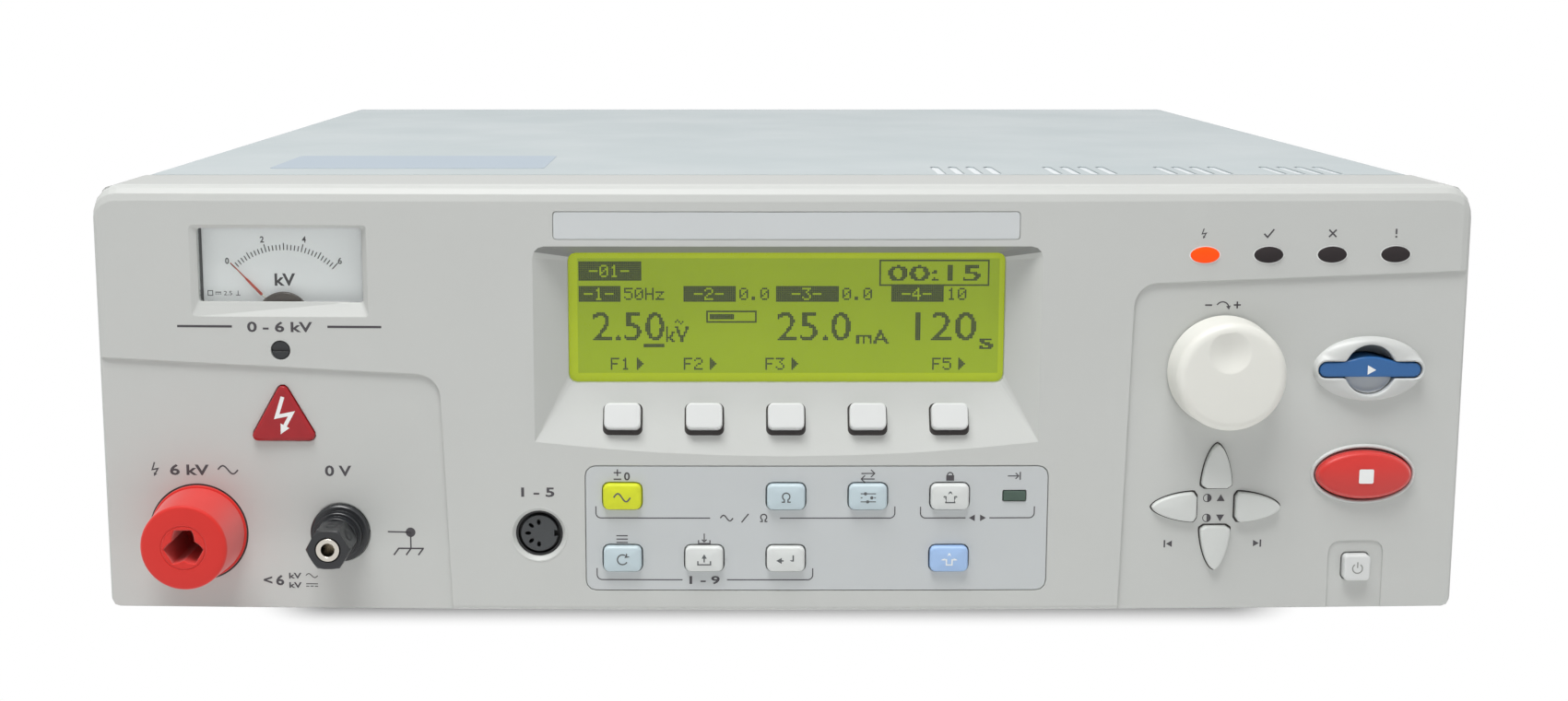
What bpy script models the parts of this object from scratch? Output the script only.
"""Bench hipot tester: a 430 mm wide case with a bowed moulded front.

Lengths are metres. X runs to the right of someone who faces the front, Y to the back and Z up.
The origin is on the surface that the feet stand on, in the middle of the outer box.
Places on the front are given as (x, z), with z counted from the front frame's lower edge.
Places across and up the front are shares of its width and height, so that they follow them.
"""

import math

import bmesh
import bpy
from mathutils import Matrix, Vector

# Case
BEZEL_WIDTH = 0.430
BEZEL_HEIGHT = 0.1355
BOW = 0.004
BOW_STEP = 0.043
FRONT_BAND = 0.011
COLLAR_BACK = 0.044
COLLAR_INSET = 0.0008
COVER_BACK = 0.399
COVER_SHEET = 0.0015
COVER_JOINT = 0.0008
COVER_FOLD_RADIUS = 0.005
LIP_LENGTH = 0.006
LIP_WALL = 0.002
FRONT_WALL = 0.0025
SEAT_GAP = 0.0003
CORNER_TOP_RADIUS = 0.008
CORNER_BOTTOM_RADIUS = 0.003
TOP_EDGE_RADIUS = 0.0045
BOTTOM_EDGE_RADIUS = 0.0015
SIDE_EDGE_RADIUS = 0.003

# Feet and tilt legs
FOOT_HEIGHT = 0.0137
FOOT_WIDTH = 0.030
FOOT_LENGTH = 0.028
FOOT_X = 0.37209 * BEZEL_WIDTH
FOOT_FRONT_SETBACK = 0.070
FOOT_REAR_SETBACK = 0.350
CHASSIS_RAISE = 0.002
LEG_WIDTH = 0.017
LEG_LENGTH = 0.046
LEG_THICKNESS = 0.0036
LEG_PIVOT_HEIGHT = 0.0062
LEG_BARREL_RADIUS = 0.003
LEG_PIN_RADIUS = 0.0014
LEG_PIN_REACH = 0.003

# Lower side fields, which lie a little behind the upper band and the centre field
FIELD_STEP = 0.0008
LEFT_FIELD_TOP_OUT = 0.60148 * BEZEL_HEIGHT
LEFT_FIELD_TOP_IN = 0.56310 * BEZEL_HEIGHT
LEFT_FIELD_SIDE_TOP = -0.24977 * BEZEL_WIDTH
LEFT_FIELD_SIDE_BOTTOM = -0.24302 * BEZEL_WIDTH
RIGHT_FIELD_TOP_OUT = 0.80443 * BEZEL_HEIGHT
RIGHT_FIELD_TOP_IN = 0.77638 * BEZEL_HEIGHT
RIGHT_FIELD_SIDE_TOP = 0.25535 * BEZEL_WIDTH
RIGHT_FIELD_SIDE_BOTTOM = 0.24930 * BEZEL_WIDTH
FIELD_CORNER_RADIUS = 0.0075

# Display recess, window and display
RECESS_X = 0.00372 * BEZEL_WIDTH
RECESS_WIDTH = 0.36814 * BEZEL_WIDTH
RECESS_TOP = 0.86421 * BEZEL_HEIGHT
RECESS_SIDE_BOTTOM = 0.40590 * BEZEL_HEIGHT
RECESS_MIDDLE_BOTTOM = 0.37269 * BEZEL_HEIGHT
RECESS_CORNER_RADIUS = 0.0035
RECESS_DEPTH = 0.0094
RECESS_FLOOR = 0.002
RECESS_WALL = 0.003
RECESS_MARGIN = 0.005
WINDOW_WIDTH = RECESS_WIDTH - 0.0208
WINDOW_BOTTOM = 0.53506 * BEZEL_HEIGHT
WINDOW_TOP = 0.83838 * BEZEL_HEIGHT
WINDOW_RADIUS = 0.0023
WINDOW_THICKNESS = 0.0015
DISPLAY_WIDTH = WINDOW_WIDTH + 0.0125
DISPLAY_BOTTOM = 0.49815 * BEZEL_HEIGHT
DISPLAY_TOP = 0.87823 * BEZEL_HEIGHT
DISPLAY_THICKNESS = 0.0085

# Printed film and bare name strip
OVERLAY_X = 0.02581 * BEZEL_WIDTH
OVERLAY_Z = 0.20000 * BEZEL_HEIGHT
OVERLAY_WIDTH = 0.33860 * BEZEL_WIDTH
OVERLAY_HEIGHT = 0.29668 * BEZEL_HEIGHT
OVERLAY_RADIUS = 0.003
OVERLAY_THICKNESS = 0.0005
NAME_STRIP_X = 0.00279 * BEZEL_WIDTH
NAME_STRIP_Z = 0.91218 * BEZEL_HEIGHT
NAME_STRIP_WIDTH = 0.33628 * BEZEL_WIDTH
NAME_STRIP_HEIGHT = 0.0088
NAME_STRIP_DEPTH = 0.0004

# Keys
KEY_GAP = 0.00045
KEY_TRAVEL = 0.0008
KEY_FLANGE = 0.0012
KEY_FLANGE_THICKNESS = 0.001
KEY_POST = 0.004
KEY_EDGE = 0.0005
SOFT_KEY_WIDTH = 0.0114
SOFT_KEY_HEIGHT = 0.0081
SOFT_KEY_RADIUS = 0.0017
SOFT_KEY_PROUD = 0.0038
SOFT_KEY_FIRST = RECESS_X - 0.37600 * WINDOW_WIDTH
SOFT_KEY_PITCH = 0.18727 * WINDOW_WIDTH
SOFT_KEY_Z = 0.45683 * BEZEL_HEIGHT
FUNCTION_KEY_WIDTH = 0.012
FUNCTION_KEY_HEIGHT = 0.0082
FUNCTION_KEY_RADIUS = 0.0018
FUNCTION_KEY_PROUD = 0.0022
FUNCTION_KEY_FIRST = OVERLAY_X - 0.42102 * OVERLAY_WIDTH
FUNCTION_KEY_PITCH = 0.17720 * OVERLAY_WIDTH
FUNCTION_ROW_1 = 0.27823 * BEZEL_HEIGHT
FUNCTION_ROW_2 = 0.12915 * BEZEL_HEIGHT
ARROW_X = 0.31977 * BEZEL_WIDTH
ARROW_Z = 0.24871 * BEZEL_HEIGHT
ARROW_INNER = 0.04576 * BEZEL_HEIGHT
ARROW_LENGTH = 0.10480 * BEZEL_HEIGHT
ARROW_WIDTH = 0.0096
ARROW_RADIUS = 0.0016
ARROW_PROUD = 0.0022
POWER_X = 0.42605 * BEZEL_WIDTH
POWER_Z = 0.10111 * BEZEL_HEIGHT
POWER_SIZE = 0.0083
POWER_RADIUS = 0.0014
POWER_PROUD = 0.0025
POWER_TRAVEL = 0.003
TONGUE_WIDTH = 0.0175
TONGUE_TOP = 0.16236 * BEZEL_HEIGHT
TONGUE_RADIUS = 0.0035
TONGUE_DEPTH = 0.0004

# Lamps
LAMP_FIRST = 0.30488 * BEZEL_WIDTH
LAMP_PITCH = 0.04628 * BEZEL_WIDTH
LAMP_Z = 0.84354 * BEZEL_HEIGHT
LAMP_WIDTH = 0.0090
LAMP_HEIGHT = 0.0050
LAMP_PROUD = 0.0008
REMOTE_LAMP_X = 0.17093 * BEZEL_WIDTH
REMOTE_LAMP_Z = 0.27823 * BEZEL_HEIGHT
REMOTE_LAMP_WIDTH = 0.0070
REMOTE_LAMP_HEIGHT = 0.0031
LENS_FLANGE = 0.001
LENS_DEPTH = 0.002

# Meter
METER_X = -0.36442 * BEZEL_WIDTH
METER_OUTER_WIDTH = 0.0554
METER_OUTER_BOTTOM = 0.69889 * BEZEL_HEIGHT
METER_OUTER_TOP = 0.91144 * BEZEL_HEIGHT
METER_WIDTH = 0.0512
METER_BOTTOM = 0.73210 * BEZEL_HEIGHT
METER_TOP = 0.90332 * BEZEL_HEIGHT
METER_DEPTH = 0.002
METER_GLASS = 0.0012
METER_CASE_SIDE = 0.002
METER_CASE_BELOW = 0.06642 * BEZEL_HEIGHT
METER_CASE_ABOVE = 0.002
METER_CASE_DEPTH = 0.022
METER_DIAL_DEPTH = 0.0052
METER_PIVOT_Z = 0.72030 * BEZEL_HEIGHT
METER_HUB_RADIUS = 0.0026
NEEDLE_LENGTH = 0.15646 * BEZEL_HEIGHT
NEEDLE_WIDTH = 0.0009
NEEDLE_THICKNESS = 0.0006
NEEDLE_REST = math.radians(51)
COVER_PLATE_RADIUS = 0.0064
COVER_PLATE_TOP = 0.0036
COVER_PLATE_THICKNESS = 0.0012
ZERO_X = -0.36488 * BEZEL_WIDTH
ZERO_Z = 0.62066 * BEZEL_HEIGHT
ZERO_RADIUS = 0.0028
ZERO_SLOT = 0.0009

# High-voltage side
TRIANGLE_X = -0.36465 * BEZEL_WIDTH
TRIANGLE_WIDTH = 0.0196
TRIANGLE_BOTTOM = 0.40664 * BEZEL_HEIGHT
TRIANGLE_TOP = 0.53579 * BEZEL_HEIGHT
TRIANGLE_RADIUS = 0.0017
TRIANGLE_PROUD = 0.0015
HV_X = -0.43070 * BEZEL_WIDTH
HV_Z = 0.18376 * BEZEL_HEIGHT
HV_FLANGE_RADIUS = 0.0153
HV_FLANGE_THICKNESS = 0.0012
HV_BASE_RADIUS = 0.0146
HV_FACE_RADIUS = 0.0135
HV_PROUD = 0.0180
HV_EDGE = 0.0012
HV_BARREL_RADIUS = 0.010
HV_NUT_RADIUS = 0.013
HV_NUT_THICKNESS = 0.004
HV_BARREL_DEPTH = 0.014
HV_SOCKET_DEPTH = 0.022
HV_LOBE_REACH = 0.0056
HV_LOBE_HALF = 0.0026
HV_CONTACT_RADIUS = 0.0022
HV_CONTACT_LENGTH = 0.006
LOW_X = -0.32535 * BEZEL_WIDTH
LOW_Z = 0.18598 * BEZEL_HEIGHT
LOW_BASE_RADIUS = 0.0093
LOW_BASE_THICKNESS = 0.0022
LOW_COLLAR_RADIUS = 0.0075
LOW_COLLAR_LENGTH = 0.0052
LOW_BARREL_RADIUS = 0.0052
LOW_BARREL_DEPTH = 0.010
LOW_COLLAR_NECK = 0.00645
LOW_CAP_FLATS = 0.012
LOW_CAP_EDGE = 0.0006
LOW_CAP_LENGTH = 0.0116
LOW_PROUD = 0.0198
LOW_STEM_RADIUS = 0.00365
LOW_BORE_RADIUS = 0.0020
LOW_BORE_DEPTH = 0.016
LOW_STEM_DEPTH = 0.016

# Remote socket
REMOTE_X = -0.17837 * BEZEL_WIDTH
REMOTE_Z = 0.18450 * BEZEL_HEIGHT
REMOTE_RADIUS = 0.0089
REMOTE_SHELL_RADIUS = 0.0072
REMOTE_INSERT_RADIUS = 0.0058
REMOTE_CAVITY = 0.004
REMOTE_INSERT_SINK = 0.0006
REMOTE_LIP = 0.0006
REMOTE_LIP_SINK = 0.0012
REMOTE_BODY = 0.013
REMOTE_PIN_RADIUS = 0.0008
REMOTE_PIN_CIRCLE = 0.0037

# Knob, start lever and stop button
KNOB_X = 0.32140 * BEZEL_WIDTH
KNOB_Z = 0.57343 * BEZEL_HEIGHT
KNOB_BASE_RADIUS = 0.0176
KNOB_FACE_RADIUS = 0.0167
KNOB_HEIGHT = 0.012
KNOB_EDGE = 0.0018
KNOB_DIMPLE_RADIUS = 0.0063
KNOB_DIMPLE_DEPTH = 0.0016
KNOB_DIMPLE_X = -0.0012
KNOB_DIMPLE_Z = 0.0079
KNOB_LIFT = 0.0007
SHAFT_RADIUS = 0.003
SHAFT_LENGTH = 0.009
SHAFT_GAP = 0.0002
BUSH_RADIUS = 0.0045
ENCODER_SIZE = 0.0134
ENCODER_DEPTH = 0.0065
START_X = 0.42814 * BEZEL_WIDTH
START_Z = 0.57565 * BEZEL_HEIGHT
START_HALF_WIDTH = 0.0175
START_HALF_HEIGHT = 0.0103
START_PROUD = 0.0036
START_SLOT_HALF_WIDTH = 0.0163
START_SLOT_HALF_HEIGHT = 0.0027
START_BULGE = 0.0053
START_BULGE_WIDTH = 0.0105
START_LEVER_HALF_WIDTH = 0.0159
START_LEVER_HALF_HEIGHT = 0.0023
START_LEVER_BUMP = 0.0019
START_LEVER_SINK = 0.0004
START_TRAVEL = 0.002
STOP_X = 0.42791 * BEZEL_WIDTH
STOP_Z = 0.32546 * BEZEL_HEIGHT
STOP_HALF_WIDTH = 0.0166
STOP_HALF_HEIGHT = 0.0096
STOP_RING_PROUD = 0.0020
STOP_BUTTON_HALF_WIDTH = 0.0151
STOP_BUTTON_HALF_HEIGHT = 0.0078
STOP_PROUD = 0.0046
STOP_TRAVEL = 0.002
GUARD_DEPTH = 0.0100
GUARD_LEDGE = 0.0010

# Boards and works inside
BOARD_THICKNESS = 0.0016
FRONT_BOARD_GAP = 0.0005
FRONT_BOARD_LEFT = -0.14884 * BEZEL_WIDTH
FRONT_BOARD_RIGHT = 0.47442 * BEZEL_WIDTH
FRONT_BOARD_BOTTOM = 0.04797 * BEZEL_HEIGHT
FRONT_BOARD_TOP = 0.94834 * BEZEL_HEIGHT
CHASSIS_SHEET = 0.0015
CHASSIS_FLANGE = 0.032
CHASSIS_END_GAP = 0.006
REAR_PANEL_SHEET = 0.002
MAIN_BOARD_WIDTH = 0.53488 * BEZEL_WIDTH
MAIN_BOARD_LENGTH = 0.250
MAIN_BOARD_X = 0.19767 * BEZEL_WIDTH
MAIN_BOARD_SETBACK = 0.0945
MAIN_BOARD_HEIGHT = 0.010
STANDOFF_RADIUS = 0.003
STANDOFF_INSET = 0.008
BOSS_RADIUS = 0.003
BOSS_SHARES = (-0.1372, 0.1628, 0.2186, 0.4605, 0.2523)
BOSS_LEVELS = (0.0775, 0.9188, 0.0775, 0.7196, 0.4428)
CAPACITOR_RADIUS = 0.0125
CAPACITOR_HEIGHT = 0.044
CAPACITOR_PITCH = 0.040
CAPACITOR_X = 0.33721 * BEZEL_WIDTH
HEAT_SINK_X = 0.07907 * BEZEL_WIDTH
HEAT_SINK_LENGTH = 0.120
HEAT_SINK_HEIGHT = 0.040
HEAT_SINK_BASE = 0.004
HEAT_SINK_FINS = 6
FIN_PITCH = 0.006
FIN_THICKNESS = 0.002
TRANSFORMER_WIDTH = 0.104
TRANSFORMER_LENGTH = 0.052
TRANSFORMER_HEIGHT = 0.088
TRANSFORMER_COIL_LENGTH = 0.078
TRANSFORMER_COIL_WIDTH = 0.083
TRANSFORMER_COIL_HEIGHT = 0.058
TRANSFORMER_COIL_RADIUS = 0.008
TRANSFORMER_X = -0.27907 * BEZEL_WIDTH
FAN_SIZE = 0.080
FAN_DEPTH = 0.025
FAN_BORE_RADIUS = 0.0375
FAN_X = -0.34884 * BEZEL_WIDTH
FAN_Z = 0.48708 * BEZEL_HEIGHT
FAN_BLADE_RADIUS = 0.0355
FAN_HUB_RADIUS = 0.016
FAN_STRUT_DEPTH = 0.005
FAN_STRUT_WIDTH = 0.006
FAN_CORNER_RADIUS = 0.004
FAN_FRONT_GAP = 0.002
FAN_BLADES = 7
FAN_BLADE_CHORD = 0.012
FAN_BLADE_THICKNESS = 0.0018
FAN_BLADE_PITCH = math.radians(50)
INLET_X = 0.38372 * BEZEL_WIDTH
INLET_Z = 0.30996 * BEZEL_HEIGHT
INLET_FLANGE_WIDTH = 0.050
INLET_FLANGE_HEIGHT = 0.0275
INLET_FLANGE_THICKNESS = 0.003
INLET_CAVITY_WIDTH = 0.0245
INLET_CAVITY_HEIGHT = 0.0172
INLET_CAVITY_DEPTH = 0.0165
INLET_CORNER_RADIUS = 0.002
INLET_WALL = 0.002
INLET_BACK = 0.004
INLET_PIN_WIDTH = 0.002
INLET_PIN_HEIGHT = 0.004
INLET_PIN_PLACES = ((-0.007, -0.002), (0.007, -0.002), (0, 0.002))
INLET_PIN_LENGTH = 0.0115
CONNECTOR_X = 0.09302 * BEZEL_WIDTH
CONNECTOR_Z = 0.69373 * BEZEL_HEIGHT
CONNECTOR_WIDTH = 0.066
CONNECTOR_HEIGHT = 0.0165
CONNECTOR_SHELL_WIDTH = 0.048
CONNECTOR_SHELL_HEIGHT = 0.0125
CONNECTOR_RADIUS = 0.002
CONNECTOR_PLATE = 0.001
CONNECTOR_WALL = 0.0012
CONNECTOR_PROUD = 0.0024
CONNECTOR_DEPTH = 0.008
CONNECTOR_ROOM_DEPTH = 0.0056
CONNECTOR_BAR_WIDTH = 0.040
CONNECTOR_BAR_HEIGHT = 0.005
CONNECTOR_BAR_PROUD = 0.0018

# Vents in the cover and the grille in the rear panel
VENT_SHARES = (0.1498, 0.2407, 0.3312, 0.4165)
VENT_SLOTS = 4
VENT_PITCH = 0.0062
VENT_SLOT_WIDTH = 0.0030
VENT_END_RADIUS = 0.0014
VENT_FRONT = 0.047
VENT_BACK = 0.074
SIDE_VENT_COUNT = 8
SIDE_VENT_PITCH = 0.012
SIDE_VENT_START = 0.120
SIDE_VENT_BOTTOM = 0.33210 * BEZEL_HEIGHT
SIDE_VENT_TOP = 0.66421 * BEZEL_HEIGHT
GRILLE_SLOTS = 9
GRILLE_PITCH = 0.008
GRILLE_SLOT_HEIGHT = 0.0036
GRILLE_END_RADIUS = 0.0017

HALF_WIDTH = BEZEL_WIDTH / 2
BEZEL_Z = FOOT_HEIGHT + SEAT_GAP - CHASSIS_RAISE
REACH = 0.02
FUNCTION_KEYS = (
    ("key_acw", 0, FUNCTION_ROW_1, "lit_key"),
    ("key_ir", 2, FUNCTION_ROW_1, "clear_key"),
    ("key_system", 3, FUNCTION_ROW_1, "clear_key"),
    ("key_local", 4, FUNCTION_ROW_1, "grey_key"),
    ("key_auto", 0, FUNCTION_ROW_2, "clear_key"),
    ("key_recall", 1, FUNCTION_ROW_2, "grey_key"),
    ("key_enter", 2, FUNCTION_ROW_2, "grey_key"),
    ("key_shift", 4, FUNCTION_ROW_2, "blue_key"),
)
ARROWS = (("up", 0), ("left", 90), ("down", 180), ("right", 270))

# Colour, roughness and metallic value of each finish
FINISHES = {
    "bezel": ((0.55, 0.56, 0.54), 0.5, 0.0),
    "cover": ((0.62, 0.66, 0.66), 0.5, 0.2),
    "chassis": ((0.60, 0.61, 0.60), 0.4, 0.9),
    "white_plastic": ((0.75, 0.77, 0.77), 0.4, 0.0),
    "knob": ((0.77, 0.77, 0.74), 0.4, 0.0),
    "grey_key": ((0.70, 0.72, 0.72), 0.45, 0.0),
    "clear_key": ((0.58, 0.66, 0.70), 0.3, 0.0),
    "blue_key": ((0.26, 0.38, 0.75), 0.35, 0.0),
    "lit_key": ((0.60, 0.75, 0.02), 0.35, 0.0),
    "film": ((0.58, 0.60, 0.60), 0.5, 0.0),
    "window": ((0.45, 0.55, 0.10), 0.1, 0.0),
    "display": ((0.30, 0.38, 0.03), 0.4, 0.0),
    "dial": ((0.78, 0.78, 0.79), 0.6, 0.0),
    "needle": ((0.50, 0.08, 0.04), 0.4, 0.0),
    "red": ((0.71, 0.04, 0.03), 0.35, 0.0),
    "blue": ((0.03, 0.14, 0.40), 0.4, 0.0),
    "orange_lens": ((1.0, 0.09, 0.0), 0.2, 0.0),
    "dark_lens": ((0.06, 0.05, 0.05), 0.2, 0.0),
    "black": ((0.012, 0.012, 0.013), 0.4, 0.0),
    "rubber": ((0.02, 0.02, 0.02), 0.8, 0.0),
    "steel": ((0.60, 0.60, 0.62), 0.25, 1.0),
    "brass": ((0.70, 0.50, 0.20), 0.3, 1.0),
    "board": ((0.02, 0.18, 0.07), 0.5, 0.0),
    "core": ((0.12, 0.12, 0.13), 0.5, 0.5),
}


def clear_scene():
    for obj in list(bpy.data.objects):
        bpy.data.objects.remove(obj, do_unlink=True)


def collection(name):
    made = bpy.data.collections.new(name)
    bpy.context.scene.collection.children.link(made)
    return made


def make_finish(name):
    colour, roughness, metallic = FINISHES[name]
    finish = bpy.data.materials.new(name)
    finish.use_nodes = True
    shader = finish.node_tree.nodes["Principled BSDF"]
    shader.inputs["Base Color"].default_value = (*colour, 1)
    shader.inputs["Roughness"].default_value = roughness
    shader.inputs["Metallic"].default_value = metallic
    return finish


clear_scene()
PARTS = collection("hipot_tester")
CUTTERS = collection("cutters")
MATERIALS = {name: make_finish(name) for name in FINISHES}


# Places

def bow(x):
    """How far the front stands forward at x of the plane through its two ends."""
    return BOW * (1 - min(1, abs(x) / HALF_WIDTH) ** 2)


# The lower post reaches furthest forward and the cover furthest back: the origin is midway.
FRONT_REACH = bow(abs(LOW_X) + LOW_BASE_RADIUS) - FIELD_STEP + LOW_PROUD
FACE_Y = FRONT_REACH - (COVER_BACK + FRONT_REACH) / 2
RECESS_Y = FACE_Y - BOW + RECESS_DEPTH
BOARD_Y = RECESS_Y + RECESS_FLOOR + SEAT_GAP + DISPLAY_THICKNESS + FRONT_BOARD_GAP
PANEL_Y = FACE_Y + COVER_BACK - CHASSIS_END_GAP - REAR_PANEL_SHEET
CHASSIS_Z = BEZEL_Z + CHASSIS_RAISE
COLLAR_HALF_WIDTH = HALF_WIDTH - COLLAR_INSET
COLLAR_TOP = BEZEL_HEIGHT - COLLAR_INSET
LIP_INSET = COVER_SHEET + SEAT_GAP
LIP_HALF_WIDTH = COLLAR_HALF_WIDTH - LIP_INSET
LIP_TOP = COLLAR_TOP - LIP_INSET
LIP_BACK = COLLAR_BACK + LIP_LENGTH


def on_front(x, z, behind=0.0):
    """The point of the front at (x, z), or one this far behind it."""
    return Vector((x, FACE_Y - bow(x) + behind, BEZEL_Z + z))


def on_field(x, z):
    return on_front(x, z, FIELD_STEP)


def on_bed(x, z, reach):
    """The middle of a flat seat cut in a side field, level with the field at the seat's outer edge."""
    return Vector((x, FACE_Y - bow(abs(x) + reach) + FIELD_STEP, BEZEL_Z + z))


def behind_wall(place, reach):
    """How far behind this place the front wall's back lies, out to this reach on either side."""
    return FACE_Y - bow(abs(place.x) + reach) + FRONT_WALL - place.y


# Outlines, as lists of (x, z)

def rounded(corners, radii, segments=3):
    """The outline through these corners, each rounded by its radius."""
    outline = []
    for i, radius in enumerate(radii):
        corner = Vector(corners[i])
        before = (Vector(corners[i - 1]) - corner).normalized()
        after = (Vector(corners[(i + 1) % len(corners)]) - corner).normalized()
        if radius <= 0:
            outline.append(tuple(corner))
            continue
        half = before.angle(after) / 2
        centre = corner + (before + after).normalized() * radius / math.sin(half)
        start = corner + before * radius / math.tan(half) - centre
        end = corner + after * radius / math.tan(half) - centre
        first = math.atan2(start.y, start.x)
        sweep = (math.atan2(end.y, end.x) - first + math.pi) % math.tau - math.pi
        for k in range(segments + 1):
            angle = first + sweep * k / segments
            outline.append((centre.x + radius * math.cos(angle), centre.y + radius * math.sin(angle)))
    return outline


def rounded_rectangle(width, height, radius, x=0.0, z=0.0, segments=3):
    left, right = x - width / 2, x + width / 2
    low, high = z - height / 2, z + height / 2
    corners = ((left, low), (right, low), (right, high), (left, high))
    return rounded(corners, [radius] * 4, segments)


def ellipse(half_width, half_height, x=0.0, z=0.0, count=28):
    turns = [math.tau * k / count for k in range(count)]
    return [(x + half_width * math.cos(t), z + half_height * math.sin(t)) for t in turns]


def arrow_outline(grow=0.0, steps=5):
    """A flat base towards the middle of the cluster and curved sides that meet in a round tip."""
    inner = ARROW_INNER - grow
    length = ARROW_LENGTH + 2 * grow
    half = ARROW_WIDTH / 2 + grow

    def side(t):
        return half * max(0.0, 1 - t ** 1.8) ** 0.62

    stations = [1 - (1 - k / steps) ** 1.5 for k in range(1, steps)]
    right = [(side(t), inner + length * t) for t in stations]
    left = [(-x, z) for x, z in reversed(right)]
    corners = [(-half, inner), (half, inner), *right, (0, inner + length), *left]
    radii = [ARROW_RADIUS + grow] * 2 + [0] * (len(corners) - 2)
    return rounded(corners, radii)


def bulged_slot(half_width, half_height, bulge_up, bulge_down, bulge_width, steps=6):
    """A slot with round ends that swells in its middle."""
    end = half_width - half_height

    def swell(x, bulge):
        if abs(x) >= bulge_width:
            return half_height
        return half_height + bulge * math.cos(math.pi * x / bulge_width / 2) ** 1.6

    across = [bulge_width * (2 * k / (2 * steps) - 1) for k in range(2 * steps + 1)]
    quarter = [math.pi * (k / 5 - 0.5) for k in range(6)]
    right = [(end + half_height * math.cos(a), half_height * math.sin(a)) for a in quarter]
    left = [(-x, -z) for x, z in right]
    top = [(-x, swell(x, bulge_up)) for x in across]
    bottom = [(x, -swell(x, bulge_down)) for x in across]
    return [*right, *top, *left, *bottom]


# Meshes and objects

def finished(name, mesh, finish, place=(0, 0, 0)):
    """A named part with its own finish, at its own place."""
    obj = bpy.data.objects.new(name, mesh)
    obj.location = place
    PARTS.objects.link(obj)
    mesh.materials.clear()
    mesh.materials.append(MATERIALS[finish])
    mesh.shade_smooth()
    mesh.set_sharp_from_angle(angle=math.radians(30))
    return obj


def cutter(name, mesh, place=(0, 0, 0)):
    obj = bpy.data.objects.new(name, mesh)
    obj.location = place
    obj.hide_render = True
    obj.display_type = "WIRE"
    CUTTERS.objects.link(obj)
    return obj


def boolean(obj, other, operation="DIFFERENCE"):
    modifier = obj.modifiers.new(other.name, "BOOLEAN")
    modifier.operation = operation
    modifier.object = other
    return obj


def bevel(obj, width, segments=2, angle=50):
    modifier = obj.modifiers.new("edges", "BEVEL")
    modifier.width = width
    modifier.segments = segments
    modifier.limit_method = "ANGLE"
    modifier.angle_limit = math.radians(angle)
    return obj


def to_mesh(bm, name):
    bmesh.ops.recalc_face_normals(bm, faces=bm.faces)
    mesh = bpy.data.meshes.new(name)
    bm.to_mesh(mesh)
    bm.free()
    return mesh


def add_prism(bm, outline, front, back, matrix=Matrix()):
    """An outline in (x, z) pushed from y = front to y = back."""
    bottom = bm.faces.new([bm.verts.new(matrix @ Vector((x, front, z))) for x, z in outline])
    pushed = bmesh.ops.extrude_face_region(bm, geom=[bottom])["geom"]
    moved = [item for item in pushed if isinstance(item, bmesh.types.BMVert)]
    shift = matrix.to_3x3() @ Vector((0, back - front, 0))
    bmesh.ops.translate(bm, verts=moved, vec=shift)


def prism(name, outline, front, back):
    bm = bmesh.new()
    add_prism(bm, outline, front, back)
    return to_mesh(bm, name)


def prisms(name, rows):
    """Several prisms that don't touch, as one mesh: rows of (outline, front, back, matrix)."""
    bm = bmesh.new()
    for outline, front, back, matrix in rows:
        add_prism(bm, outline, front, back, matrix)
    return to_mesh(bm, name)


def box(name, low, high):
    bm = bmesh.new()
    low, high = Vector(low), Vector(high)
    place = Matrix.Translation((low + high) / 2) @ Matrix.Diagonal((*(high - low), 1))
    bmesh.ops.create_cube(bm, size=1, matrix=place)
    return to_mesh(bm, name)


def hull(name, points):
    bm = bmesh.new()
    for point in points:
        bm.verts.new(point)
    made = bmesh.ops.convex_hull(bm, input=bm.verts)
    loose = [v for v in made["geom_interior"] if isinstance(v, bmesh.types.BMVert)]
    bmesh.ops.delete(bm, geom=loose, context="VERTS")
    return to_mesh(bm, name)


def loft(name, rings):
    """Rings of as many points each, joined one to the next and closed at both ends."""
    bm = bmesh.new()
    rows = [[bm.verts.new(point) for point in ring] for ring in rings]
    for row, following in zip(rows, rows[1:]):
        for i, corner in enumerate(row):
            bm.faces.new((row[i - 1], corner, following[i], following[i - 1]))
    bm.faces.new(rows[0])
    bm.faces.new(rows[-1])
    return to_mesh(bm, name)


def turned(name, profile, finish=None, place=(0, 0, 0), steps=28):
    """A profile of (radius, y) turned about the Y axis, with y growing towards the back."""
    bm = bmesh.new()
    corners = [bm.verts.new((radius, y, 0)) for radius, y in profile]
    for a, b in zip(corners, corners[1:]):
        bm.edges.new((a, b))
    mesh = bpy.data.meshes.new(name)
    bm.to_mesh(mesh)
    bm.free()
    obj = finished(name, mesh, finish, place) if finish else cutter(name, mesh, place)
    screw = obj.modifiers.new("turn", "SCREW")
    screw.axis = "Y"
    screw.steps = steps
    screw.render_steps = steps
    screw.use_merge_vertices = True
    screw.merge_threshold = 0.00001
    closed = list(zip(profile, profile[1:] + profile[:1]))
    screw.use_normal_flip = sum(a[0] * b[1] - b[0] * a[1] for a, b in closed) > 0
    return obj


def stations(first, last):
    """Values from first to last, close enough together to follow the bow of the front."""
    count = max(1, round((last - first) / BOW_STEP))
    return [first + (last - first) * k / count for k in range(count + 1)]


def front_space(name, behind):
    """All the space in front of a surface that lies this far behind the bowed front."""
    side = HALF_WIDTH + REACH
    low, high = BEZEL_Z - REACH, BEZEL_Z + BEZEL_HEIGHT + REACH
    rings = []
    for x in [-side, *stations(-HALF_WIDTH, HALF_WIDTH), side]:
        back = FACE_Y - bow(x) + behind
        front = FACE_Y - REACH - BOW
        rings.append([(x, front, low), (x, back, low), (x, back, high), (x, front, high)])
    return loft(name, rings)


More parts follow.
